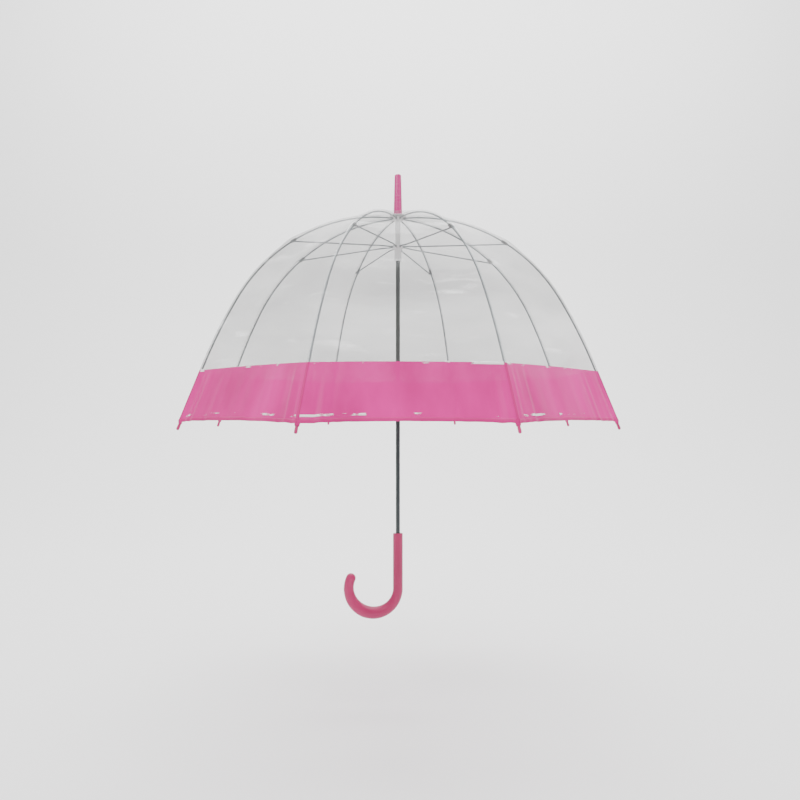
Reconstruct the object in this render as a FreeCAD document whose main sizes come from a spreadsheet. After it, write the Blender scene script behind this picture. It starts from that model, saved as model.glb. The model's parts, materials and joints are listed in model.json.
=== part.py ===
"""Dome stick umbrella with eight ribs, a crook handle and a sliding runner.

Frame: the origin is the middle of the straight grip, on the shaft's axis, and +Z runs up the
shaft to the ferrule. The crook bends towards -X. Lengths are in millimetres, angles in degrees.
The umbrella is drawn open, which is its rest position.
"""
import FreeCAD, Part
import math
import os

import Sketcher
from FreeCAD import Placement, Rotation, Vector

DIMENSIONS = {
    # shaft, a steel tube, with a slot for each catch
    "ShaftDiameter": 8.0, "ShaftWall": 0.8, "ShaftBottom": -40.0, "ShaftTop": 712.0,
    # crook handle: straight grip centred on the origin, then a bend that swells at the bottom
    "GripDiameter": 18.6, "GripLength": 104.0, "GripChamfer": 1.0,
    "CrookRadius": 46.5, "CrookSweep": 204.0, "CrookSwell": 23.0,
    # ferrule and the washer that clamps the canopy's crown
    "FerruleTop": 731.0, "FerruleBase": 653.0, "FerruleTopDiameter": 12.7,
    "FerruleBaseDiameter": 16.3, "FerruleRound": 3.0, "SkirtDiameter": 19.4, "SkirtHeight": 3.0,
    "WasherDiameter": 32.0, "WasherThickness": 1.4,
    # notch and runner, the two slotted hubs, and the ring wires that the ribs turn on
    "NotchPivotHeight": 647.0, "RunnerPivotHeight": 594.0, "PivotRadius": 8.5,
    "HubDiameter": 21.0, "HubHeight": 6.4, "HubSlotWidth": 3.4, "HubSlotDepth": 3.8,
    "WireDiameter": 1.0, "EyeDiameter": 3.2, "EyeRim": 0.1, "EyeBore": 1.24,
    "RunnerBore": 8.16, "BarrelDiameter": 13.9, "BarrelLength": 23.4,
    "CatchGrooveWidth": 2.6, "CatchGrooveRadius": 6.0,
    "SleeveDiameter": 9.8, "SleeveGap": 0.4,
    # ribs: an arc over the crown, a flatter arc, then straight to the tip
    "RibCount": 8.0, "RibTwist": 2.44, "RodDiameter": 2.8,
    "CrownArcRadius": 338.0, "JointTurn": 36.0, "CrownArcTurn": 60.3,
    "SideArcRadius": 920.0, "SideArcTurn": 8.0, "StraightLength": 112.0,
    # bracket at the stretcher joint, where the inner rib meets the outer rib
    "BracketWidth": 3.6, "BracketHeight": 4.6, "BracketBack": 10.0, "BracketWeb": 3.0,
    "ForkGap": 2.0, "TongueWidth": 1.4, "TongueDiameter": 3.8, "RodStart": 2.9,
    "PinDiameter": 1.4, "PinBore": 1.52,
    # stretchers, which run beside the ribs
    "StretcherDiameter": 2.4, "StretcherOffset": 3.4, "JogStart": 6.0, "JogLength": 22.0,
    "StretcherEye": 3.8, "RivetHeadDiameter": 2.6, "RivetHeadHeight": 0.4,
    # tip caps
    "CapDiameter": 5.0, "CapLength": 16.0, "CapDepth": 10.0,
    # canopy: clear panels over the crown and sides, a coloured border and a folded hem
    "CanopyOffset": 3.6, "PanelThickness": 0.5, "PanelGapAngle": 0.06, "CrownTurn": 0.8,
    "BorderStart": 12.0, "BorderEnd": 94.0, "HemEnd": 100.6, "HemThickness": 1.2,
    # catches, sprung in the shaft
    "CatchWidth": 1.2, "CatchSlotWidth": 2.0, "CatchSlotMargin": 1.2, "CatchHeight": 12.5, "CatchReach": 5.7,
    "CatchPinDiameter": 1.0, "CatchPinBore": 1.12, "CatchPivotRadius": 1.0,
    "TopCatchBase": 554.3, "BottomCatchBase": 230.5,
}

doc = FreeCAD.newDocument("StickUmbrella")
sheet = doc.addObject("Spreadsheet::Sheet", "Sizes")
for row, (alias, number) in enumerate(DIMENSIONS.items(), start=1):
    sheet.set(f"A{row}", alias)
    sheet.set(f"B{row}", str(number))
    sheet.setAlias(f"B{row}", alias)
doc.recompute()


class Size:
    """A length or angle that knows both its number and the sheet expression behind it."""

    def __init__(self, number, text):
        self.number = number
        self.text = text

    def _join(self, other, sign, number):
        return Size(number, f"({self.text} {sign} {size(other).text})")

    def __add__(self, other):
        return self._join(other, "+", self.number + size(other).number)

    def __sub__(self, other):
        return self._join(other, "-", self.number - size(other).number)

    def __mul__(self, other):
        return self._join(other, "*", self.number * size(other).number)

    def __truediv__(self, other):
        return self._join(other, "/", self.number / size(other).number)

    def __neg__(self):
        return self * -1


def size(value):
    """A sheet alias, a plain number or a Size, as a Size."""
    if isinstance(value, Size):
        return value
    if isinstance(value, str):
        return Size(float(sheet.get(value)), f"<<{sheet.Label}>>.{value}")
    return Size(float(value), str(float(value)))


def sine(angle):
    return Size(math.sin(math.radians(angle.number)), f"sin({angle.text} * 1 deg)")


def cosine(angle):
    return Size(math.cos(math.radians(angle.number)), f"cos({angle.text} * 1 deg)")


def bind(thing, name, value):
    """Set a property and tie it to the sheet."""
    value = size(value)
    setattr(thing, name, value.number)
    thing.setExpression(name, value.text)


# ---------------------------------------------------------------- sketch and feature helpers

def body(label):
    new = doc.addObject("PartDesign::Body", label)
    new.Label = label
    return new


def sketch(owner, plane, name, offset=Placement()):
    """A sketch on one of the body's own origin planes."""
    new = owner.newObject("Sketcher::SketchObject", f"{owner.Label}_{name}")
    support = [item for item in owner.Origin.OriginFeatures if item.Role == plane][0]
    new.AttachmentSupport = [(support, "")]
    new.MapMode = "FlatFace"
    new.AttachmentOffset = offset
    return new


def constrain(where, kind, *items):
    """Add a constraint whose last item may be a Size, which is then tied to the sheet."""
    *geometry, value = items
    if isinstance(value, Size):
        index = where.addConstraint(Sketcher.Constraint(kind, *geometry, value.number))
        where.setExpression(f"Constraints[{index}]", value.text)
    else:
        where.addConstraint(Sketcher.Constraint(kind, *items))


def circle(where, x, y, diameter):
    x, y, diameter = size(x), size(y), size(diameter)
    centre = Vector(x.number, y.number, 0)
    index = where.addGeometry(Part.Circle(centre, Vector(0, 0, 1), diameter.number / 2))
    place_point(where, index, 3, x, y)
    constrain(where, "Diameter", index, diameter)


def place_point(where, index, point, x, y):
    """Fix a sketch point by its distances from the sketch's origin."""
    if x.number == 0 and y.number == 0:
        constrain(where, "Coincident", index, point, -1, 1)
        return
    if x.number == 0:
        constrain(where, "PointOnObject", index, point, -2)
    else:
        constrain(where, "DistanceX", -1, 1, index, point, x)
    if y.number == 0:
        constrain(where, "PointOnObject", index, point, -1)
    else:
        constrain(where, "DistanceY", -1, 1, index, point, y)


def outline(where, corners):
    """A closed outline. Each corner is (x, y) or (x, y, radius) where the edge that leaves it is
    an arc; a positive radius bulges to the left of the edge and a negative one to the right."""
    corners = [tuple(size(item) for item in corner) for corner in corners]
    for start, end in zip(corners, corners[1:] + corners[:1]):
        a = Vector(start[0].number, start[1].number, 0)
        b = Vector(end[0].number, end[1].number, 0)
        if len(start) == 2:
            where.addGeometry(Part.LineSegment(a, b))
            continue
        radius = start[2].number
        chord = b - a
        left = Vector(-chord.y, chord.x, 0).normalize() * math.copysign(1, radius)
        rise = abs(radius) - math.sqrt(radius ** 2 - chord.Length ** 2 / 4)
        arc = Part.Arc(a, (a + b) / 2 + left * rise, b)
        where.addGeometry(arc)
    count = len(corners)
    # an arc is stored counter-clockwise, so its start and end points swap where it bulges left
    first = [2 if len(corner) == 3 and corner[2].number > 0 else 1 for corner in corners]
    for index, corner in enumerate(corners):
        before = (index - 1) % count
        constrain(where, "Coincident", before, 3 - first[before], index, first[index])
        place_point(where, index, first[index], corner[0], corner[1])
        if len(corner) == 3:
            radius = corner[2] if corner[2].number > 0 else -corner[2]
            constrain(where, "Radius", index, radius)


def feature(owner, kind, name, **settings):
    """A PartDesign feature; a Size setting is tied to the sheet."""
    new = owner.newObject(f"PartDesign::{kind}", f"{owner.Label}_{name}")
    for key, value in settings.items():
        if isinstance(value, Size):
            bind(new, key, value)
        else:
            setattr(new, key, value)
    return new


def axis_of(owner, role):
    return ([item for item in owner.Origin.OriginFeatures if item.Role == role][0], [""])


def pad(owner, where, length, name="Pad"):
    return feature(owner, "Pad", name, Profile=where, Length=size(length), Midplane=True)


def pocket(owner, where, name="Pocket"):
    return feature(owner, "Pocket", name, Profile=where, Type="ThroughAll", Midplane=True)


def revolve(owner, where, name="Turned"):
    return feature(owner, "Revolution", name, Profile=where, Angle=360.0,
                   ReferenceAxis=axis_of(owner, "Z_Axis"))


def ring_of(owner, item, count, name="Ring"):
    pattern = feature(owner, "PolarPattern", name, Originals=[item], Angle=360.0,
                      Axis=axis_of(owner, "Z_Axis"))
    pattern.Occurrences = int(size(count).number)
    pattern.setExpression("Occurrences", size(count).text)
    owner.Tip = pattern
    return pattern


def turned(label, corners, height=0.0):
    """A turned piece: its half section in (radius, height), revolved about the Z axis."""
    new = body(label)
    section = sketch(new, "XZ_Plane", "Section")
    outline(section, corners)
    revolve(new, section)
    new.Placement = Placement(Vector(0, 0, size(height).number), Rotation())
    return new


def about_z(angle):
    return Rotation(Vector(0, 0, 1), angle)


def about_y(angle):
    return Rotation(Vector(0, 1, 0), angle)


def in_rib_plane(azimuth, radius, height, slope=0.0):
    """Placement of a piece drawn along +X from a pivot, sloping down by slope degrees."""
    return (Placement(Vector(), about_z(azimuth))
            * Placement(Vector(radius, 0, height), about_y(slope)))


# ---------------------------------------------------------------- values used by several pieces

PIVOT = size("PivotRadius")
rib_count = int(size("RibCount").number)
rib_step = 360 / rib_count
twist = size("RibTwist").number
rib_azimuths = [-90 + twist + rib_step * (index + 0.5) for index in range(rib_count)]
catch_azimuth = 90 + twist


def meridian(turn, offset):
    """A point on the crown arc, moved outwards by offset."""
    radius = size("CrownArcRadius")
    reach = radius + offset
    return (PIVOT + reach * sine(turn),
            size("NotchPivotHeight") - radius + reach * cosine(turn))


def side_meridian(turn, offset):
    """A point on the flatter side arc, which carries on from the crown arc."""
    crown, side = size("CrownArcTurn"), size("SideArcRadius")
    x, z = meridian(crown, 0)
    reach = side + offset
    return (x - side * sine(crown) + reach * sine(turn),
            z - side * cosine(crown) + reach * cosine(turn))


def straight_meridian(distance, offset):
    """A point on the straight end of the meridian, distance along it."""
    turn = size("CrownArcTurn") + size("SideArcTurn")
    x, z = side_meridian(turn, offset)
    return x + cosine(turn) * distance, z - sine(turn) * distance


JOINT_TURN = size("JointTurn")
joint_x, joint_z = meridian(JOINT_TURN, 0)
joint_radius, joint_height = joint_x.number, joint_z.number
stretcher_drop = size("RunnerPivotHeight").number - joint_height
stretcher_run = joint_radius - PIVOT.number
stretcher_slope = math.degrees(math.atan2(stretcher_drop, stretcher_run))
stretcher_length = math.hypot(stretcher_run, stretcher_drop)


# ---------------------------------------------------------------- shaft, ferrule and handle

def catch_slot(owner, height, name):
    """A slot through one wall of the tube, for the catch's nose."""
    half = size("CatchSlotWidth") / 2
    where = sketch(owner, "YZ_Plane", name)
    margin = size("CatchSlotMargin")
    low, high = size(height) - margin, size(height) + "CatchHeight" + margin
    outline(where, [(-half, low), (half, low), (half, high), (-half, high)])
    return feature(owner, "Pocket", f"{name}Cut", Profile=where, Midplane=False,
                   Length=size("ShaftDiameter"), Reversed=True)


def make_shaft():
    new = body("shaft")
    section = sketch(new, "XY_Plane", "Section",
                     Placement(Vector(0, 0, size("ShaftBottom").number), Rotation()))
    circle(section, 0, 0, "ShaftDiameter")
    circle(section, 0, 0, size("ShaftDiameter") - size("ShaftWall") * 2)
    feature(new, "Pad", "Tube", Profile=section, Length=size("ShaftTop") - "ShaftBottom")
    catch_slot(new, "TopCatchBase", "TopSlot")
    catch_slot(new, size("BottomCatchBase") - "CatchHeight", "BottomSlot")
    holes = sketch(new, "XZ_Plane", "PinHoles")
    for height in catch_pin_heights():
        circle(holes, "CatchPivotRadius", height, "CatchPinDiameter")
    pocket(new, holes, "PinHolesCut")
    new.Placement = Placement(Vector(), about_z(catch_azimuth))


def catch_pin_heights():
    return (size("TopCatchBase") + 1.2, size("BottomCatchBase") - 1.2)


def make_ferrule():
    """A rounded post on the end of the shaft, with a flared skirt that presses on the washer."""
    height = size("FerruleTop") - "FerruleBase"
    bore = size("ShaftDiameter") / 2
    depth = size("ShaftTop") - "FerruleBase"
    top = size("FerruleTopDiameter") / 2
    base = size("FerruleBaseDiameter") / 2
    skirt, flare = size("SkirtDiameter") / 2, size("SkirtHeight")
    rounding = size("FerruleRound")
    turned("ferrule", [
        (bore, 0), (skirt, 0), (skirt, flare / 3), (base, flare),
        (top, height - rounding, -rounding), (top - rounding, height),
        (0, height), (0, depth), (bore, depth),
    ], "FerruleBase")


def make_crown_washer():
    """The disc between the ferrule's skirt and the canopy's crown."""
    bore, rim = size("ShaftDiameter") / 2, size("WasherDiameter") / 2
    thick = size("WasherThickness")
    turned("crown_washer", [
        (bore, 0), (rim, 0), (rim, thick / 2), (rim - 3, thick), (bore, thick),
    ], size("FerruleBase") - thick)


def crook_circle(name, at, radius):
    """A round section of the crook, at so many degrees round the bend."""
    new = doc.addObject("Part::Circle", name)
    bind(new, "Radius", radius)
    bend, swing = size("CrookRadius").number, math.radians(at)
    place = Vector(bend * (math.cos(swing) - 1), 0, -bend * math.sin(swing))
    new.Placement = Placement(place - Vector(0, 0, size("GripLength").number / 2),
                              about_y(at))
    return new


def make_handle():
    """Straight grip, lofted crook with a swelling section, rounded end, and a bore for the shaft."""
    grip, length = size("GripDiameter") / 2, size("GripLength")
    bevel = size("GripChamfer")
    straight = doc.addObject("Part::Cylinder", "GripStraight")
    bind(straight, "Radius", grip)
    bind(straight, "Height", length - bevel)
    straight.Placement = Placement(Vector(0, 0, -length.number / 2), Rotation())
    edge = doc.addObject("Part::Cone", "GripEdge")
    bind(edge, "Radius1", grip)
    bind(edge, "Radius2", grip - bevel)
    bind(edge, "Height", bevel)
    edge.Placement = Placement(Vector(0, 0, length.number / 2 - bevel.number), Rotation())

    sweep_angle = size("CrookSweep").number
    spine = doc.addObject("Part::Circle", "CrookLine")
    bind(spine, "Radius", "CrookRadius")
    spine.Angle1, spine.Angle2 = 0, sweep_angle
    spine.Placement = Placement(Vector(-size("CrookRadius").number, 0, -length.number / 2),
                                Rotation(Vector(1, 0, 0), -90))
    swell = size("CrookSwell") / 2 - grip
    steps = 6
    sections = []
    for index in range(steps + 1):
        at = sweep_angle * index / steps
        bulge = math.sin(math.pi * index / steps) ** 2
        sections.append(crook_circle(f"CrookSection{index}", at, grip + swell * bulge))
    crook = doc.addObject("Part::Sweep", "Crook")
    crook.Sections = sections
    crook.Spine = (spine, ["Edge1"])
    crook.Solid = True
    end = doc.addObject("Part::Sphere", "CrookEnd")
    bind(end, "Radius", grip)
    end.Angle1, end.Angle2 = -90, 0
    end.Placement = sections[-1].Placement

    joined = doc.addObject("Part::MultiFuse", "HandleBlank")
    joined.Shapes = [straight, edge, crook, end]
    bore = doc.addObject("Part::Cylinder", "HandleBore")
    bind(bore, "Radius", size("ShaftDiameter") / 2)
    bind(bore, "Height", length)
    bore.Placement = Placement(Vector(0, 0, size("ShaftBottom").number), Rotation())
    handle = doc.addObject("Part::Cut", "handle")
    handle.Label = "handle"
    handle.Base, handle.Tool = joined, bore


# ---------------------------------------------------------------- hubs, wires and catches

def cut_slots(owner, height):
    """Radial slots for the rib eyes, one per rib, from the rim inwards."""
    rim, half = size("HubDiameter") / 2, size("HubSlotWidth") / 2
    where = sketch(owner, "XY_Plane", "Slot")
    inner = rim - size("HubSlotDepth")
    outline(where, [(inner, -half), (rim + 1, -half), (rim + 1, half), (inner, half)])
    slot = feature(owner, "Pocket", "SlotCut", Profile=where, Midplane=True,
                   Length=size(height) * 2 + 2)
    ring_of(owner, slot, "RibCount", "SlotRing")


def cut_wire_groove(owner):
    """The channel that the ring wire lies in."""
    where = sketch(owner, "XZ_Plane", "WireGroove")
    circle(where, "PivotRadius", 0, "WireDiameter")
    feature(owner, "Groove", "WireGrooveCut", Profile=where, Angle=360.0,
            ReferenceAxis=axis_of(owner, "Z_Axis"))


def make_notch():
    """The slotted crown hub, fixed on the shaft, that the ribs hang from."""
    bore, rim, half = size("ShaftDiameter") / 2, size("HubDiameter") / 2, size("HubHeight") / 2
    new = turned("notch", [
        (bore, -half), (rim - 0.6, -half), (rim, 0.6 - half.number), (rim, half.number - 0.6),
        (rim - 0.6, half), (bore, half),
    ], "NotchPivotHeight")
    cut_wire_groove(new)
    cut_slots(new, half)
    new.Placement.Rotation = about_z(rib_azimuths[0])


def make_runner():
    """The sliding hub: a slotted flange on a barrel, with a channel that passes the catches."""
    bore, rim, half = size("RunnerBore") / 2, size("HubDiameter") / 2, size("HubHeight") / 2
    barrel = size("BarrelDiameter") / 2
    foot = -(half + size("BarrelLength"))
    new = turned("runner", [
        (bore, foot), (barrel - 0.6, foot), (barrel, foot + 0.6), (barrel, foot + 5),
        (barrel - 0.5, foot + 6), (barrel - 0.5, -half - 3), (barrel, -half - 2),
        (barrel, -half), (rim - 0.6, -half), (rim, 0.6 - half.number),
        (rim, half.number - 0.6), (rim - 0.6, half), (bore, half),
    ], "RunnerPivotHeight")
    cut_wire_groove(new)
    cut_slots(new, half)
    channel = sketch(new, "XY_Plane", "Channel",
                     Placement(Vector(), about_z(catch_azimuth - rib_azimuths[0])))
    wide = size("CatchGrooveWidth") / 2
    outline(channel, [(0, -wide), ("CatchGrooveRadius", -wide), ("CatchGrooveRadius", wide),
                      (0, wide)])
    feature(new, "Pocket", "ChannelCut", Profile=channel, Midplane=True,
            Length=size("BarrelLength") * 4)
    new.Placement.Rotation = about_z(rib_azimuths[0])


def make_wire(label, height):
    wire = doc.addObject("Part::Torus", label)
    wire.Label = label
    bind(wire, "Radius1", "PivotRadius")
    bind(wire, "Radius2", size("WireDiameter") / 2)
    wire.Placement = Placement(Vector(0, 0, size(height).number), Rotation())


def make_stop_sleeve():
    """The spacer on the shaft that the runner's flange meets when the umbrella is open."""
    half = size("HubHeight") / 2
    low = size("RunnerPivotHeight") + half + "SleeveGap"
    height = size("NotchPivotHeight") - half - low
    bore, skin = size("ShaftDiameter") / 2, size("SleeveDiameter") / 2
    turned("stop_sleeve", [(bore, 0), (skin, 0), (skin, height), (bore, height)], low)


def make_catch(label, base, upside_down):
    """A sprung wedge in the shaft: a flat shoulder, a sloping nose and a hole for its pin."""
    new = body(label)
    side = sketch(new, "XZ_Plane", "Side")
    tall, reach = size("CatchHeight"), size("CatchReach")
    outline(side, [(-0.4, 0), (2.2, 0), (reach, tall - 4), (reach, tall), (-0.4, tall)])
    circle(side, "CatchPivotRadius", 1.2, "CatchPinBore")
    pad(new, side, "CatchWidth")
    turn = about_z(catch_azimuth)
    if upside_down:
        turn = turn * Rotation(Vector(1, 0, 0), 180)
    new.Placement = Placement(Vector(0, 0, size(base).number), turn)


def make_catch_pins():
    """Two short pins across the shaft, one per catch."""
    new = body("catch_pins")
    ends = sketch(new, "XZ_Plane", "Ends")
    for height in catch_pin_heights():
        circle(ends, "CatchPivotRadius", height, "CatchPinDiameter")
    pad(new, ends, size("ShaftDiameter") - 0.6)
    new.Placement = Placement(Vector(), about_z(catch_azimuth))


# ---------------------------------------------------------------- ribs, stretchers and tip caps

def rod_section(owner, diameter, start=0.0):
    where = sketch(owner, "YZ_Plane", "Rod", Placement(Vector(0, 0, start), Rotation()))
    circle(where, 0, 0, diameter)
    return where


def falling_arcs(owner, turns, straight=None, start=0.0):
    """A path from the X axis that turns downwards through (radius, turn) arcs in succession,
    and then runs straight."""
    path = sketch(owner, "XZ_Plane", "Path")
    total = size(0)
    x, z = size(start), size(0)
    for index, (radius, turn) in enumerate(turns):
        radius, turn = size(radius), size(turn)
        new_total = total + turn
        centre = Vector((x - radius * sine(total)).number, (z - radius * cosine(total)).number, 0)
        shape = Part.Circle(centre, Vector(0, 0, 1), radius.number)
        path.addGeometry(Part.ArcOfCircle(shape, math.radians(90 - new_total.number),
                                          math.radians(90 - total.number)))
        if index == 0:
            place_point(path, 0, 2, x, z)
            constrain(path, "DistanceX", 0, 3, 0, 2, size(0))
        else:
            constrain(path, "Tangent", index, 2, index - 1, 1)
        constrain(path, "Radius", index, radius)
        x = x + radius * (sine(new_total) - sine(total))
        z = z - radius * (cosine(total) - cosine(new_total))
        constrain(path, "DistanceX", -1, 1, index, 1, x)
        total = new_total
    if straight is not None:
        straight = size(straight)
        begin = Vector(x.number, z.number, 0)
        end = begin + Vector(cosine(total).number, -sine(total).number, 0) * straight.number
        last = path.addGeometry(Part.LineSegment(begin, end))
        constrain(path, "Tangent", last, 1, last - 1, 1)
        constrain(path, "Distance", last, straight)
    return path


def add_eye(owner, diameter, width, name="Eye"):
    """A round boss across the pivot."""
    where = sketch(owner, "XZ_Plane", name)
    circle(where, 0, 0, diameter)
    pad(owner, where, width, f"{name}Boss")


def drill(owner, diameter, name="Bore"):
    """A hole through the pivot, which also clears what the rod left there."""
    where = sketch(owner, "XZ_Plane", name)
    circle(where, 0, 0, diameter)
    pocket(owner, where, f"{name}Cut")


def make_inner_rib(number, azimuth):
    """The rib from the notch to the back of its bracket."""
    new = body(f"inner_rib_{number}")
    add_eye(new, "EyeDiameter", size("RodDiameter") + size("EyeRim") * 2)
    back = size("BracketBack") / "CrownArcRadius" * (180 / math.pi)
    path = falling_arcs(new, [("CrownArcRadius", JOINT_TURN - back)])
    feature(new, "AdditivePipe", "Sweep", Profile=rod_section(new, "RodDiameter"), Spine=path)
    drill(new, "EyeBore")
    new.Placement = in_rib_plane(azimuth, PIVOT.number, size("NotchPivotHeight").number)


def make_bracket(number, azimuth):
    """The fork crimped on the inner rib, with the pin that the outer rib turns on."""
    new = body(f"rib_bracket_{number}")
    half, back, web = size("BracketHeight") / 2, size("BracketBack"), size("BracketWeb")
    side = sketch(new, "XZ_Plane", "Side")
    outline(side, [(-back, -half), (0, -half), (0, half), (-back, half)])
    pad(new, side, "BracketWidth")
    add_eye(new, "BracketHeight", "BracketWidth", "Nose")
    fork = sketch(new, "XY_Plane", "Fork")
    gap = size("ForkGap") / 2
    outline(fork, [(-web, -gap), (half + 1, -gap), (half + 1, gap), (-web, gap)])
    pocket(new, fork, "ForkCut")
    pin = sketch(new, "XZ_Plane", "Pin")
    circle(pin, 0, 0, "PinDiameter")
    pad(new, pin, "BracketWidth", "PinPad")
    lean = math.degrees(back.number / size("CrownArcRadius").number) / 2
    new.Placement = in_rib_plane(azimuth, joint_radius, joint_height, JOINT_TURN.number - lean)


def make_outer_rib(number, azimuth):
    """The rib from its tongue in the bracket to the tip."""
    new = body(f"outer_rib_{number}")
    path = falling_arcs(new, [("CrownArcRadius", size("CrownArcTurn") - JOINT_TURN),
                              ("SideArcRadius", "SideArcTurn")], "StraightLength")
    feature(new, "AdditivePipe", "Sweep", Profile=rod_section(new, "RodDiameter"), Spine=path)
    drill(new, size("RodStart") * 2, "Relief")
    add_eye(new, "TongueDiameter", "TongueWidth", "Tongue")
    neck = sketch(new, "XZ_Plane", "Neck")
    half = size("TongueDiameter") / 4
    outline(neck, [(0, -half), (size("RodStart") + 0.8, -half),
                   (size("RodStart") + 0.8, half), (0, half)])
    pad(new, neck, "TongueWidth", "NeckPad")
    drill(new, "PinBore")
    new.Placement = in_rib_plane(azimuth, joint_radius, joint_height, JOINT_TURN.number)


def make_tip_cap(number, azimuth):
    """The rounded cap on the end of the outer rib; the canopy's corner is tied to it."""
    radius, length = size("CapDiameter") / 2, size("CapLength")
    bore, depth = size("RodDiameter") / 2, size("CapDepth")
    cap = turned(f"tip_cap_{number}", [
        (bore, 0), (radius - 0.6, 0), (radius - 0.3, 2), (radius, length - radius, -radius),
        (0, length), (0, depth), (bore, depth),
    ])
    tip_x, tip_z = straight_meridian(size("StraightLength") - depth, 0)
    slope = size("CrownArcTurn").number + size("SideArcTurn").number
    cap.Placement = in_rib_plane(azimuth, tip_x.number, tip_z.number, slope + 90)


def make_stretcher(number, azimuth):
    """The strut from the runner to the bracket. It jogs sideways to run beside the rib."""
    new = body(f"stretcher_{number}")
    shift, jog, first = size("StretcherOffset"), size("JogLength"), size("JogStart")
    eye_width = size("StretcherDiameter") + size("EyeRim") * 2
    add_eye(new, "EyeDiameter", eye_width)
    path = sketch(new, "XY_Plane", "Path")
    bend = (jog * jog + shift * shift) / (shift * 4)
    corners = [(size(0), size(0)), (first, size(0)), (first + jog / 2, shift / 2),
               (first + jog, shift), (size(stretcher_length), shift)]
    points = [Vector(x.number, y.number, 0) for x, y in corners]
    path.addGeometry(Part.LineSegment(points[0], points[1]))
    swing = math.asin(jog.number / 2 / bend.number)
    up = Part.Circle(points[1] + Vector(0, bend.number, 0), Vector(0, 0, 1), bend.number)
    path.addGeometry(Part.ArcOfCircle(up, -math.pi / 2, swing - math.pi / 2))
    down = Part.Circle(points[3] - Vector(0, bend.number, 0), Vector(0, 0, 1), bend.number)
    path.addGeometry(Part.ArcOfCircle(down, math.pi / 2, math.pi / 2 + swing))
    path.addGeometry(Part.LineSegment(points[3], points[4]))
    ends = [(0, 1), (1, 1), (2, 2), (3, 1), (3, 2)]
    for (index, point), (x, y) in zip(ends, corners):
        place_point(path, index, point, x, y)
    for start, end in (((0, 2), (1, 1)), ((1, 2), (2, 2)), ((2, 1), (3, 1))):
        constrain(path, "Coincident", *start, *end)
    constrain(path, "Radius", 1, bend)
    constrain(path, "Radius", 2, bend)
    feature(new, "AdditivePipe", "Sweep", Profile=rod_section(new, "StretcherDiameter"),
            Spine=path)
    drill(new, "EyeBore")
    far = sketch(new, "XZ_Plane", "FarEye", Placement(Vector(0, 0, -shift.number), Rotation()))
    circle(far, stretcher_length, 0, "StretcherEye")
    pad(new, far, eye_width, "FarEyeBoss")
    outside = -(shift.number + eye_width.number / 2)
    head = sketch(new, "XZ_Plane", "RivetHead", Placement(Vector(0, 0, outside), Rotation()))
    circle(head, stretcher_length, 0, "RivetHeadDiameter")
    feature(new, "Pad", "RivetHeadPad", Profile=head, Length=size("RivetHeadHeight"),
            Reversed=True)
    new.Placement = in_rib_plane(azimuth, PIVOT.number, size("RunnerPivotHeight").number,
                                 stretcher_slope)


# ---------------------------------------------------------------- canopy

def canopy_piece(label, section):
    """Eight ruled panels: each is lofted from one rib plane to the next, so it is flat across.
    section(offset) gives the corners along the meridian on that side of the panel."""
    new = body(label)
    half = 180 / rib_count - size("PanelGapAngle").number
    sides = []
    for side, turn in (("Left", -half), ("Right", half)):
        where = sketch(new, "XZ_Plane", side, Placement(Vector(), about_y(turn)))
        outline(where, section)
        sides.append(where)
    loft = feature(new, "AdditiveLoft", "Loft", Profile=sides[0], Sections=[sides[1]],
                   Ruled=True)
    ring_of(new, loft, "RibCount")
    new.Placement = Placement(Vector(), about_z(twist))


def make_clear_panels():
    """The clear sheet from the crown to the border."""
    inside, thick = size("CanopyOffset"), size("PanelThickness")
    outside = inside + thick
    crown, knee, start = size("CrownTurn"), size("CrownArcTurn"), size("BorderStart")
    radius, side = size("CrownArcRadius"), size("SideArcRadius")
    lower = knee + "SideArcTurn"
    canopy_piece("clear_panels", [
        (*meridian(crown, outside), radius + outside), (*meridian(knee, outside), side + outside),
        side_meridian(lower, outside), straight_meridian(start, outside),
        straight_meridian(start, inside), (*side_meridian(lower, inside), -(side + inside)),
        (*meridian(knee, inside), -(radius + inside)), meridian(crown, inside),
    ])


def band_section(begin, end, inside, outside):
    return [straight_meridian(begin, outside), straight_meridian(end, outside),
            straight_meridian(end, inside), straight_meridian(begin, inside)]


def make_border():
    """The coloured band and the folded hem below it."""
    inside = size("CanopyOffset")
    start, end = size("BorderStart"), size("BorderEnd")
    canopy_piece("border_panels", band_section(start + 0.1, end, inside,
                                               inside + "PanelThickness"))
    canopy_piece("border_hem", band_section(end + 0.1, size("HemEnd"), inside,
                                            inside + "HemThickness"))


# ---------------------------------------------------------------- build, check and export

def build():
    make_shaft()
    make_ferrule()
    make_crown_washer()
    make_handle()
    make_notch()
    make_wire("notch_wire", "NotchPivotHeight")
    make_stop_sleeve()
    make_runner()
    make_wire("runner_wire", "RunnerPivotHeight")
    make_catch("top_catch", "TopCatchBase", False)
    make_catch("bottom_catch", "BottomCatchBase", True)
    make_catch_pins()
    for number, azimuth in enumerate(rib_azimuths, start=1):
        make_inner_rib(number, azimuth)
        make_bracket(number, azimuth)
        make_outer_rib(number, azimuth)
        make_tip_cap(number, azimuth)
        make_stretcher(number, azimuth)
    make_clear_panels()
    make_border()


def check_and_export():
    for item in doc.Objects:
        if {"Invalid", "Error"} & set(item.State):
            raise RuntimeError(f"{item.Label}: {item.State}")
    os.makedirs("parts", exist_ok=True)
    nodes = [item for item in doc.Objects
             if item.TypeId == "PartDesign::Body" or item.Label == "handle"
             or item.TypeId == "Part::Torus"]
    for node in nodes:
        if node.Shape.isNull() or not node.Shape.isValid():
            raise RuntimeError(f"{node.Label}: bad shape")
        node.Shape.exportStep(f"parts/{node.Label}.step")
    print(len(nodes), "nodes")


build()
doc.recompute()
check_and_export()
print("joint", round(joint_radius, 3), round(joint_height, 3),
      "stretcher", round(stretcher_length, 3), round(stretcher_slope, 3))
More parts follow.
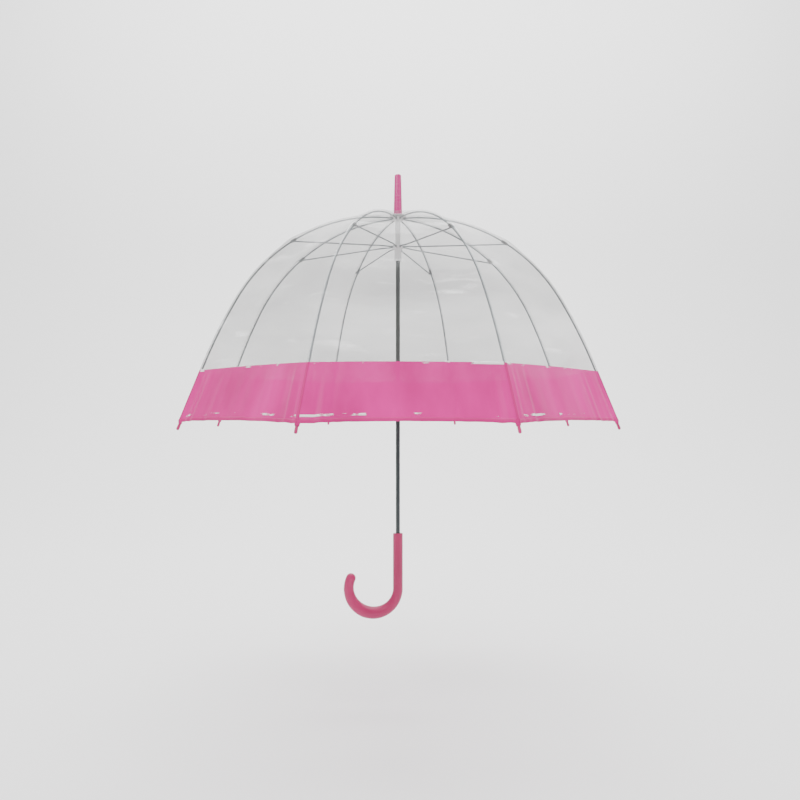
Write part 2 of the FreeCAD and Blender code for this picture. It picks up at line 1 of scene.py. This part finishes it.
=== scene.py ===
import json
import math

import bpy
from mathutils import Matrix, Vector, noise


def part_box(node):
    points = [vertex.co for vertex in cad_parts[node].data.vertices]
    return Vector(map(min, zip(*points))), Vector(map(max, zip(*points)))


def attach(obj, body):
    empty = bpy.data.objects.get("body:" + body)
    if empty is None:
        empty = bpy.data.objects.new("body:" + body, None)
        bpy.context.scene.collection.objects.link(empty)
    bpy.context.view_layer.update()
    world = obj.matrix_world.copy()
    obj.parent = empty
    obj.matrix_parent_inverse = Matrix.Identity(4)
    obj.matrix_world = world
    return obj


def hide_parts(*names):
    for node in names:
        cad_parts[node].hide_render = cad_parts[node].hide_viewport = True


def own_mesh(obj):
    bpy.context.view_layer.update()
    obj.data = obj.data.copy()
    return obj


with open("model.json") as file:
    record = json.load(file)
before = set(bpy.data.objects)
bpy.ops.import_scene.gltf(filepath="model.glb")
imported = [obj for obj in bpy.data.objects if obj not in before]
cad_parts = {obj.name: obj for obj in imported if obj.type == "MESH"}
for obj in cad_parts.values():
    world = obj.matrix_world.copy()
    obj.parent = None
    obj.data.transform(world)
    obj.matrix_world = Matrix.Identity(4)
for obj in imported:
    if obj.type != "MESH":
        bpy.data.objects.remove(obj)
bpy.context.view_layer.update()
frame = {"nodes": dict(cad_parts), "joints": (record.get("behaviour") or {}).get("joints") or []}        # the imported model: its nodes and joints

# ------------------------------------------------------------------ sizes, in metres and radians

RIBS = 8
HALF_PANEL = math.pi / RIBS

# The rib's line: a crown arc, a flatter side arc, then a straight end.
CROWN_RADIUS, CROWN_TURN = 0.338, math.radians(60.3)
SIDE_RADIUS, SIDE_TURN = 0.920, math.radians(8.0)
CROWN_LENGTH, SIDE_LENGTH = CROWN_RADIUS * CROWN_TURN, SIDE_RADIUS * SIDE_TURN

# Places along the rib, measured from its pivot.
CROWN_EDGE = 0.0055                                  # the sheet starts, under the washer
SPLIT = CROWN_RADIUS * math.radians(36.0)            # the rib's joint
BAND_TOP = CROWN_LENGTH + SIDE_LENGTH + 0.012
BAND_END = CROWN_LENGTH + SIDE_LENGTH + 0.1035

SHEET_OFFSET = 0.0034        # from the middle of a rib to the sheet
HEM_HEIGHT = 0.006
HEM_HALF_THICKNESS = 0.0009
SCALLOP = 0.0045             # how far the hem rises between two ribs
SAG = 0.003                  # how far a panel dips between two ribs
TENT, TENT_REACH = 0.0024, 0.02      # how far the sheet stands up over a bracket, and how wide
WRINKLE = 0.0024
RIPPLE = 0.0007
CLEAR_SPACING, BORDER_SPACING, SEAM_SPACING = 0.008, 0.003, 0.008   # between rows of points
TILE_COLUMNS, HEM_COLUMNS, WELD_COLUMNS = 30, 40, 48
SEAM_WIDTH, BORDER_SEAM_WIDTH = 0.0055, 0.0045

joints = {joint["name"]: joint for joint in frame["joints"]}
pivot = Vector(joints["rib_1_fold"]["pos_m"])
PIVOT_RADIUS, PIVOT_HEIGHT = math.hypot(pivot.x, pivot.y), pivot.z
UP = Vector((0, 0, 1))


# ------------------------------------------------------------------ materials

def new_material(name):
    material = bpy.data.materials.new(name)
    material.use_nodes = True
    nodes = material.node_tree.nodes
    return material, nodes, material.node_tree.links, nodes["Principled BSDF"]


def set_shader(shader, **values):
    for socket, value in values.items():
        shader.inputs[socket.replace("_", " ")].default_value = value


def noise_node(nodes, links, scale, detail=4.0, stretch=(1, 1, 1), roughness=0.5):
    """Noise on object coordinates, stretched along the axes."""
    place = nodes.new("ShaderNodeTexCoord")
    mapping = nodes.new("ShaderNodeMapping")
    mapping.inputs["Scale"].default_value = stretch
    texture = nodes.new("ShaderNodeTexNoise")
    texture.inputs["Scale"].default_value = scale
    texture.inputs["Detail"].default_value = detail
    texture.inputs["Roughness"].default_value = roughness
    links.new(place.outputs["Object"], mapping.inputs["Vector"])
    links.new(mapping.outputs["Vector"], texture.inputs["Vector"])
    return texture.outputs["Fac"]


def ramp(nodes, links, fac, stops):
    """A colour ramp through (position, colour) stops."""
    node = nodes.new("ShaderNodeValToRGB")
    elements = node.color_ramp.elements
    while len(elements) < len(stops):
        elements.new(0.5)
    for element, (position, colour) in zip(elements, stops):
        element.position = position
        element.color = (*colour, 1.0)
    links.new(fac, node.inputs["Fac"])
    return node.outputs["Color"]


def remap(nodes, links, value, low, high, start=0.3, end=0.7):
    node = nodes.new("ShaderNodeMapRange")
    node.inputs["From Min"].default_value = start
    node.inputs["From Max"].default_value = end
    node.inputs["To Min"].default_value = low
    node.inputs["To Max"].default_value = high
    links.new(value, node.inputs["Value"])
    return node.outputs["Result"]


def bump(nodes, links, shader, height, strength, distance):
    node = nodes.new("ShaderNodeBump")
    node.inputs["Strength"].default_value = strength
    node.inputs["Distance"].default_value = distance
    links.new(height, node.inputs["Height"])
    links.new(node.outputs["Normal"], shader.inputs["Normal"])


def mix_colour(nodes, links, fac, colour, over):
    node = nodes.new("ShaderNodeMix")
    node.data_type = "RGBA"
    links.new(fac, node.inputs["Factor"])
    links.new(colour, node.inputs["A"])
    node.inputs["B"].default_value = (*over, 1.0)
    return node.outputs["Result"]


def maximum(nodes, links, first, second):
    node = nodes.new("ShaderNodeMath")
    node.operation = "MAXIMUM"
    links.new(first, node.inputs[0])
    links.new(second, node.inputs[1])
    return node.outputs["Value"]


def clear_vinyl():
    """Clear soft film: mostly see-through, with a grey haze and a few pale level streaks of painted
    highlight, near white and less clear, that stand in for glints.
    """
    material, nodes, links, shader = new_material("clear_vinyl")
    set_shader(shader, IOR=1.4, Coat_Weight=0.15, Coat_Roughness=0.04)
    haze = noise_node(nodes, links, 2.6, 3.0, (1.0, 1.0, 4.0))
    colour = ramp(nodes, links, haze, [(0.3, (0.20, 0.20, 0.18)), (0.7, (0.09, 0.09, 0.09))])
    # painted highlight: level streaks where the film turns near white and less clear, standing in for
    # glints
    streaks = noise_node(nodes, links, 9.0, 3.0, (1.0, 1.0, 6.0))
    pale = remap(nodes, links, streaks, 0.0, 1.0, 0.62, 0.74)
    links.new(mix_colour(nodes, links, pale, colour, (0.95, 0.95, 0.95)),
              shader.inputs["Base Color"])
    cloudy = remap(nodes, links, haze, 0.20, 0.40)
    painted_glint_alpha = remap(nodes, links, streaks, 0.0, 0.30, 0.62, 0.76)
    links.new(maximum(nodes, links, cloudy, painted_glint_alpha), shader.inputs["Alpha"])
    fine = noise_node(nodes, links, 60.0, 3.0)
    links.new(remap(nodes, links, fine, 0.08, 0.16), shader.inputs["Roughness"])
    waves = noise_node(nodes, links, 9.0, 2.0, (1.0, 1.0, 3.0))
    bump(nodes, links, shader, waves, 0.25, 0.004)
    return material


def seam_vinyl():
    """Two layers of film, welded: less clear than the panels, with a fine dimpled weld."""
    material, nodes, links, shader = new_material("seam_vinyl")
    set_shader(shader, IOR=1.52, Coat_Weight=0.5)
    weld = noise_node(nodes, links, 140.0, 2.0)
    colour = ramp(nodes, links, weld, [(0.3, (0.62, 0.66, 0.68)), (0.7, (0.40, 0.44, 0.46))])
    links.new(colour, shader.inputs["Base Color"])
    links.new(remap(nodes, links, weld, 0.20, 0.42), shader.inputs["Alpha"])
    links.new(remap(nodes, links, weld, 0.15, 0.30), shader.inputs["Roughness"])
    bump(nodes, links, shader, weld, 0.3, 0.0005)
    return material


def weld_painted_glint():
    """The clear weld along an edge of the border, painted with highlights: uneven white spots, less
    clear than the rest, that stand in for glints.
    """
    material, nodes, links, shader = new_material("weld_painted_glint")
    set_shader(shader, IOR=1.52, Coat_Weight=0.8, Coat_Roughness=0.05)
    painted_glint_patches = noise_node(nodes, links, 26.0, 4.0, (1.0, 1.0, 2.0), 0.6)
    colour = ramp(nodes, links, painted_glint_patches, [(0.4, (0.90, 0.62, 0.78)), (0.6, (0.97, 0.95, 0.96))])
    links.new(colour, shader.inputs["Base Color"])
    links.new(remap(nodes, links, painted_glint_patches, 0.0, 0.85, 0.54, 0.60), shader.inputs["Alpha"])
    links.new(remap(nodes, links, painted_glint_patches, 0.25, 0.10), shader.inputs["Roughness"])
    bump(nodes, links, shader, painted_glint_patches, 0.4, 0.001)
    return material


def tinted_vinyl(name, light, dark, alpha, roughness):
    """Coloured film for the border, cloudy where it creases, with a fine calendered grain."""
    material, nodes, links, shader = new_material(name)
    set_shader(shader, IOR=1.5, Specular_IOR_Level=0.3, Coat_Weight=0.05, Coat_Roughness=0.2)
    cloud = noise_node(nodes, links, 7.0, 4.0, (2.0, 2.0, 0.7))
    colour = ramp(nodes, links, cloud, [(0.3, light), (0.7, dark)])
    links.new(colour, shader.inputs["Base Color"])
    if alpha < 1:
        links.new(remap(nodes, links, cloud, alpha, min(1.0, alpha + 0.06)),
                  shader.inputs["Alpha"])
    grain = noise_node(nodes, links, 900.0, 2.0)
    links.new(remap(nodes, links, grain, roughness, roughness + 0.12),
              shader.inputs["Roughness"])
    bump(nodes, links, shader, grain, 0.12, 0.0004)
    return material


def moulded(name, light, dark, roughness, coat, grain_scale=500.0):
    """Moulded plastic, with slight colour flow and a fine skin texture."""
    material, nodes, links, shader = new_material(name)
    set_shader(shader, IOR=1.48, Coat_Weight=coat, Coat_Roughness=0.08)
    flow = noise_node(nodes, links, 18.0, 3.0, (1.0, 1.0, 0.35))
    colour = ramp(nodes, links, flow, [(0.3, light), (0.7, dark)])
    links.new(colour, shader.inputs["Base Color"])
    skin = noise_node(nodes, links, grain_scale, 2.0)
    links.new(remap(nodes, links, skin, roughness, roughness + 0.12),
              shader.inputs["Roughness"])
    bump(nodes, links, shader, skin, 0.08, 0.0004)
    return material


def metal(name, light, dark, roughness, metallic, stretch=(1, 1, 1)):
    """Drawn or lacquered metal with faint streaks and scuffs."""
    material, nodes, links, shader = new_material(name)
    set_shader(shader, Metallic=metallic)
    streak = noise_node(nodes, links, 60.0, 5.0, stretch)
    colour = ramp(nodes, links, streak, [(0.35, light), (0.65, dark)])
    links.new(colour, shader.inputs["Base Color"])
    links.new(remap(nodes, links, streak, roughness, roughness + 0.18),
              shader.inputs["Roughness"])
    bump(nodes, links, shader, streak, 0.05, 0.0003)
    return material


CLEAR = clear_vinyl()
SEAM = seam_vinyl()
# painted highlight: white glint spots on the border's top and foot welds
WELD_GLINT = weld_painted_glint()
BORDER = tinted_vinyl("border_vinyl", (0.74, 0.004, 0.29), (0.52, 0.002, 0.18), 0.97, 0.38)
HEM = tinted_vinyl("hem_vinyl", (0.58, 0.004, 0.20), (0.44, 0.002, 0.14), 1.0, 0.4)
HANDLE = moulded("handle_plastic", (0.40, 0.003, 0.095), (0.29, 0.001, 0.065), 0.36, 0.12)
FERRULE = moulded("ferrule_plastic", (0.60, 0.015, 0.22), (0.48, 0.008, 0.17), 0.2, 0.45)
CAP = moulded("cap_plastic", (0.50, 0.004, 0.14), (0.38, 0.002, 0.10), 0.34, 0.15)
WHITE = moulded("white_plastic", (0.84, 0.84, 0.83), (0.74, 0.75, 0.76), 0.35, 0.1)
WASHER = moulded("washer_plastic", (0.86, 0.86, 0.87), (0.78, 0.78, 0.80), 0.2, 0.5)
SHAFT = metal("shaft_lacquer", (0.022, 0.028, 0.03), (0.04, 0.05, 0.052), 0.24, 0.35, (1, 1, 0.05))
ROD = metal("rib_steel", (0.24, 0.27, 0.28), (0.15, 0.17, 0.18), 0.34, 0.9)
BRACKET = metal("bracket_steel", (0.10, 0.105, 0.11), (0.16, 0.165, 0.17), 0.4, 0.8)
SPRING = metal("spring_steel", (0.55, 0.55, 0.54), (0.42, 0.42, 0.41), 0.25, 1.0)

NODE_MATERIALS = {
    "shaft": SHAFT, "handle": HANDLE, "ferrule": FERRULE, "crown_washer": WASHER,
    "notch": WHITE, "runner": WHITE, "stop_sleeve": WHITE, "notch_wire": SPRING,
    "runner_wire": SPRING, "catch_pins": SPRING, "top_catch": SPRING, "bottom_catch": SPRING,
    "inner_rib": ROD, "outer_rib": ROD, "stretcher": ROD, "rib_bracket": BRACKET, "tip_cap": CAP,
}


def dress_nodes():
    """Give every CAD node that stays its material."""
    for name, node in frame["nodes"].items():
        kind = name.rstrip("0123456789").rstrip("_")
        material = NODE_MATERIALS.get(kind)
        if material is None:
            continue
        for slot in node.material_slots:
            slot.material = material
        if not node.material_slots:
            node.data.materials.append(material)


# ------------------------------------------------------------------ the canopy's surface

def meridian(along):
    """(radius, height, slope) of a rib's middle line, that far along it from its pivot."""
    if along <= CROWN_LENGTH:
        turn = along / CROWN_RADIUS
        return (PIVOT_RADIUS + CROWN_RADIUS * math.sin(turn),
                PIVOT_HEIGHT - CROWN_RADIUS * (1 - math.cos(turn)), turn)
    radius, height, slope = meridian(CROWN_LENGTH)
    beyond = min(along - CROWN_LENGTH, SIDE_LENGTH)
    turn = CROWN_TURN + beyond / SIDE_RADIUS
    radius += SIDE_RADIUS * (math.sin(turn) - math.sin(CROWN_TURN))
    height -= SIDE_RADIUS * (math.cos(CROWN_TURN) - math.cos(turn))
    rest = max(0.0, along - CROWN_LENGTH - SIDE_LENGTH)
    return radius + rest * math.cos(turn), height - rest * math.sin(turn), turn


class Rib:
    """A rib's number and its directions: out from the shaft, and across."""

    def __init__(self, number):
        self.number = number
        self.across = Vector(joints[f"rib_{number}_fold"]["axis"]).normalized()
        self.out = Vector((self.across.y, -self.across.x, 0))

    def ridge(self, along, offset=SHEET_OFFSET):
        radius, height, slope = meridian(along)
        return (self.out * (radius + offset * math.sin(slope))
                + UP * (height + offset * math.cos(slope)))


ribs = [Rib(number) for number in range(1, RIBS + 1)]


def hem_rise(share):
    """How much shorter the sheet is at that share of the way from a rib to mid-panel."""
    return SCALLOP * (1 - (1 - share) ** 2)


def smooth_step(low, high, value):
    x = min(1.0, max(0.0, (value - low) / (high - low)))
    return x * x * (3 - 2 * x)


def sheet_point(rib, side, along, share, lift=0.0):
    """A point of the canopy, on the panel at one side (-1 or 1) of a rib.

    share runs from 0 on the rib to 1 at the middle of the panel. The ripples, creases and fans
    are read at the point's own place, so that the two halves of a panel agree at its middle. Over
    a bracket the sheets of a rib's two sides part by about 1 mm, under the seam.
    """
    drop = smooth_step(CROWN_LENGTH, BAND_END, along) * hem_rise(share)
    along = along - drop
    radius, height, slope = meridian(along)
    radius += SHEET_OFFSET * math.sin(slope)
    height += SHEET_OFFSET * math.cos(slope)
    chord = math.cos(HALF_PANEL) * share
    direction = rib.across * (side * math.cos(HALF_PANEL)) - rib.out * math.sin(HALF_PANEL)
    point = rib.out * radius + direction * (radius * chord * math.tan(HALF_PANEL)) + UP * height
    facing = rib.out * math.cos(HALF_PANEL) + rib.across * (side * math.sin(HALF_PANEL))
    normal = (facing * math.sin(slope) + UP * math.cos(slope)).normalized()
    dip = SAG * (1 - (1 - share) ** 2) * math.sin(min(1.0, along / CROWN_LENGTH) * math.pi / 2)
    azimuth = math.atan2(point.y, point.x)
    ring = Vector((math.cos(azimuth), math.sin(azimuth), 0))
    held = math.sin(share * math.pi / 2) ** 2
    ripple = RIPPLE * held * noise.noise(ring * 3.5 + UP * (height * 16))
    band = smooth_step(BAND_TOP - 0.01, BAND_TOP + 0.03, along)
    corner = math.exp(-((share / 0.45) ** 2)) * smooth_step(0.0, 0.09, share)
    creases = noise.noise(ring * 13 + UP * (height * 4))
    fans = noise.noise(ring * 34 + UP * (height * 7 + 3))
    gather = band * WRINKLE * (0.8 * held * creases + 1.5 * corner * fans)
    tent = TENT * math.exp(-((along - SPLIT) / TENT_REACH) ** 2 - (share / 0.6) ** 2)
    return point + normal * (lift - dip + ripple + gather + tent)


def sheet_normal(rib, side, along, share):
    """The surface's own normal, so that pieces shade as one where they meet."""
    step = 0.0004
    down = sheet_point(rib, side, along + step, share) - sheet_point(rib, side, along - step, share)
    near, far = max(0.0, share - 0.01), min(1.0, share + 0.01)
    over = sheet_point(rib, side, along, far) - sheet_point(rib, side, along, near)
    normal = down.cross(over) * side
    return normal.normalized()


def mesh_piece(name, vertices, faces, material, body, normals=None):
    mesh = bpy.data.meshes.new(name)
    mesh.from_pydata(vertices, [], faces)
    mesh.materials.append(material)
    mesh.polygons.foreach_set("use_smooth", [True] * len(mesh.polygons))
    if normals:
        mesh.normals_split_custom_set_from_vertices(normals)
    mesh.update()
    piece = bpy.data.objects.new(name, mesh)
    bpy.context.scene.collection.objects.link(piece)
    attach(piece, body)
    return piece


def fold(piece, rib, side, start, end):
    """Work out how a piece lies on its rib: the middle and line of its stretch, and the axis across
    it, straight across the rib for side 0. It only gives the piece its own copy of its mesh; nothing
    is gathered or flattened."""
    top, bottom = rib.ridge(start), rib.ridge(end)
    middle = (top + bottom + rib.ridge((start + end) / 2) * 2) / 4
    line = (bottom - top).normalized()
    axis = rib.across * (side * math.cos(HALF_PANEL)) - rib.out * math.sin(HALF_PANEL)
    axis = (axis - line * axis.dot(line)) if side else rib.across
    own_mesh(piece)


def grid_faces(rows, columns, flip):
    faces = []
    for row in range(rows - 1):
        for column in range(columns - 1):
            a = row * columns + column
            face = (a, a + 1, a + columns + 1, a + columns)
            faces.append(face[::-1] if flip else face)
    return faces


def spread(start, end, count):
    return [start + (end - start) * index / (count - 1) for index in range(count)]


def make_tile(kind, rib, side, start, end, body, material, spacing):
    """Half a panel, from its rib to mid-panel, between two places along the rib."""
    rows = max(4, round((end - start) / spacing) + 1)
    shares = [math.sin(x * math.pi / 2) ** 1.3 for x in spread(0, 1, TILE_COLUMNS)]
    places = [(along, share) for along in spread(start, end, rows) for share in shares]
    vertices = [sheet_point(rib, side, *place) for place in places]
    normals = [sheet_normal(rib, side, *place) for place in places]
    faces = grid_faces(rows, len(shares), side > 0)
    hand = "left" if side < 0 else "right"
    piece = mesh_piece(f"{kind}_{rib.number}_{hand}", vertices, faces, material, body, normals)
    width = max((sheet_point(rib, side, end, 1) - rib.ridge(end)).length, 0.02)
    fold(piece, rib, side, start, end)
    return piece


def make_hem(rib, side):
    """The folded edge: a flat tube of film along the border's lower edge."""
    hand = "left" if side < 0 else "right"
    count, around = HEM_COLUMNS, 10
    vertices = []
    for share in spread(0, 1, count):
        for step in range(around):
            angle = 2 * math.pi * step / around
            along = BAND_END - HEM_HEIGHT * 0.35 - math.cos(angle) * HEM_HEIGHT / 2
            lift = math.sin(angle) * HEM_HALF_THICKNESS
            vertices.append(sheet_point(rib, side, along, share, lift))
    faces = []
    for row in range(count - 1):
        for step in range(around):
            a, b = row * around + step, row * around + (step + 1) % around
            face = (a, b, b + around, a + around)
            faces.append(face if side > 0 else face[::-1])
    piece = mesh_piece(f"hem_{rib.number}_{hand}", vertices, faces, HEM,
                       f"outer_rib_{rib.number}")
    fold(piece, rib, side, BAND_TOP, BAND_END)
    return piece


def make_seam(rib, start, end, body, kind, material, width):
    """The welded strip that joins two panels over a rib."""
    rows, columns = max(4, round((end - start) / SEAM_SPACING)), 9
    vertices = []
    for along in spread(start, end, rows):
        reach = meridian(along)[0] * math.sin(HALF_PANEL)
        for across in spread(-1, 1, columns):
            share = min(1.0, abs(across) * width / 2 / reach)
            edge = 1 - abs(across) ** 6
            lift = 0.0002 + 0.0005 * edge * (0.45 + 0.55 * min(1.0, abs(across) * 3))
            vertices.append(sheet_point(rib, 1 if across >= 0 else -1, along, share, lift))
    piece = mesh_piece(f"{kind}_{rib.number}", vertices, grid_faces(rows, columns, True),
                       material, body)
    fold(piece, rib, 0, start, end)
    return piece


def make_glint_weld(kind, rib, side, along, width):
    """A narrow raised strip along an edge of the border, in the weld material with its painted
    highlights.
    """
    hand = "left" if side < 0 else "right"
    rows, columns = 7, WELD_COLUMNS
    vertices = []
    for across in spread(-1, 1, rows):
        for share in spread(0.02, 1, columns):
            lift = 0.0003 + 0.0006 * (1 - across * across)
            vertices.append(sheet_point(rib, side, along + across * width / 2, share, lift))
    piece = mesh_piece(f"{kind}_{rib.number}_{hand}", vertices,
                       grid_faces(rows, columns, side > 0), WELD_GLINT, f"outer_rib_{rib.number}")
    fold(piece, rib, side, BAND_TOP, BAND_END)
    return piece


def make_corner(rib):
    """The small pocket at the hem's corner that takes the tip cap."""
    vertices, around, rings = [], 16, 6
    start, end = BAND_END - 0.006, BAND_END + 0.003
    for share in spread(0, 1, rings):
        radius, height, slope = meridian(start + (end - start) * share)
        middle = rib.out * radius + UP * height
        outward = rib.out * math.sin(slope) + UP * math.cos(slope)
        wide = 0.0046 - 0.0012 * share ** 2
        deep = 0.0034 - 0.0004 * share
        for step in range(around):
            angle = 2 * math.pi * step / around
            vertices.append(middle + rib.across * (math.cos(angle) * wide)
                            + outward * (math.sin(angle) * deep + 0.0008 * (1 - share)))
    faces = []
    for row in range(rings - 1):
        for step in range(around):
            a, b = row * around + step, row * around + (step + 1) % around
            faces.append((a, a + around, b + around, b))
    return mesh_piece(f"corner_{rib.number}", vertices, faces, HEM, f"outer_rib_{rib.number}")


def make_canopy():
    """All the canopy's sheets, rib by rib. The upper ones ride the inner rib."""
    middle = (SPLIT + BAND_TOP) / 2
    pieces = []
    for rib in ribs:
        inner, outer = f"inner_rib_{rib.number}", f"outer_rib_{rib.number}"
        for side in (-1, 1):
            pieces += [
                make_tile("crown_film", rib, side, CROWN_EDGE, SPLIT / 2, inner, CLEAR, CLEAR_SPACING),
                make_tile("shoulder_film", rib, side, SPLIT / 2, SPLIT, inner, CLEAR, CLEAR_SPACING),
                make_tile("upper_film", rib, side, SPLIT, middle, outer, CLEAR, CLEAR_SPACING),
                make_tile("lower_film", rib, side, middle, BAND_TOP, outer, CLEAR, CLEAR_SPACING),
            ]
            band = make_tile("border", rib, side, BAND_TOP, BAND_END, outer, BORDER, BORDER_SPACING)
            hem = make_hem(rib, side)
            # raised strips at the border's top and foot that carry the painted highlight glints
            make_glint_weld("glint_weld_top", rib, side, BAND_TOP + 0.001, 0.0045)
            make_glint_weld("glint_weld_foot", rib, side, BAND_END - HEM_HEIGHT - 0.004, 0.0035)
            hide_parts("border_panels")
            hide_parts("border_hem")
        make_seam(rib, CROWN_EDGE, SPLIT, inner, "seam_upper", SEAM, SEAM_WIDTH)
        make_seam(rib, SPLIT, BAND_TOP, outer, "seam_lower", SEAM, SEAM_WIDTH)
        make_seam(rib, BAND_TOP, BAND_END, outer, "seam_border", HEM, BORDER_SEAM_WIDTH)
        make_corner(rib)
    for piece in pieces:
        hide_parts("clear_panels")


# ------------------------------------------------------------------ stage, light and camera

def make_stage():
    """A pale floor that curves up into a backdrop."""
    material, nodes, links, shader = new_material("stage_white")
    tone = noise_node(nodes, links, 0.6, 2.0)
    colour = ramp(nodes, links, tone, [(0.3, (0.93, 0.93, 0.93)), (0.7, (0.91, 0.91, 0.91))])
    links.new(colour, shader.inputs["Base Color"])
    set_shader(shader, Roughness=0.9)
    floor, bend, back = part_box("handle")[0][2] - 0.16, 1.6, 3.0
    profile = [(-6.0, floor), (back - bend, floor)]
    profile += [(back - bend + bend * math.sin(x), floor + bend * (1 - math.cos(x)))
                for x in spread(0.08, math.pi / 2, 18)]
    profile.append((back, 7.0))
    vertices = [(x, y, z) for y, z in profile for x in (-9.0, 9.0)]
    faces = [(i, i + 1, i + 3, i + 2) for i in range(0, len(vertices) - 2, 2)]
    mesh = bpy.data.meshes.new("stage")
    mesh.from_pydata(vertices, [], faces)
    mesh.materials.append(material)
    mesh.polygons.foreach_set("use_smooth", [True] * len(mesh.polygons))
    stage = bpy.data.objects.new("stage", mesh)
    bpy.context.scene.collection.objects.link(stage)


def area_light(name, place, target, size, power):
    light = bpy.data.lights.new(name, "AREA")
    light.shape = "RECTANGLE"
    light.size, light.size_y = size
    light.energy = power
    lamp = bpy.data.objects.new(name, light)
    lamp.location = place
    lamp.rotation_euler = (Vector(target) - Vector(place)).to_track_quat("-Z", "Y").to_euler()
    bpy.context.scene.collection.objects.link(lamp)


def make_lights():
    centre = (0, 0, 0.4)
    area_light("key", (-1.5, -2.2, 2.2), centre, (1.4, 1.0), 26)
    area_light("fill", (2.0, -1.8, 1.2), centre, (1.6, 1.2), 8)
    area_light("top", (0.2, 0.3, 2.8), centre, (1.6, 1.6), 8)
    area_light("backdrop", (0.0, 1.3, 3.6), (0, 2.4, 0.4), (5.0, 1.5), 200)
    area_light("floor", (0.0, -0.6, 3.6), (0, -0.4, 0), (4.0, 1.0), 60)
    world = bpy.data.worlds.new("studio")
    bpy.context.scene.world = world
    world.use_nodes = True
    background = world.node_tree.nodes["Background"]
    background.inputs["Color"].default_value = (1.0, 1.0, 1.0, 1.0)
    background.inputs["Strength"].default_value = 1.15


def make_camera():
    camera = bpy.data.cameras.new("camera")
    camera.sensor_width = 36.0
    camera.lens = 31.44
    camera.shift_y = 0.0166
    eye = bpy.data.objects.new("camera", camera)
    eye.matrix_world = (Matrix.Translation((0.004, -1.323, 0.279))
                        @ Matrix.Rotation(math.pi / 2, 4, "X"))
    bpy.context.scene.collection.objects.link(eye)
    bpy.context.scene.camera = eye


make_camera()
dress_nodes()
make_canopy()
make_stage()
make_lights()
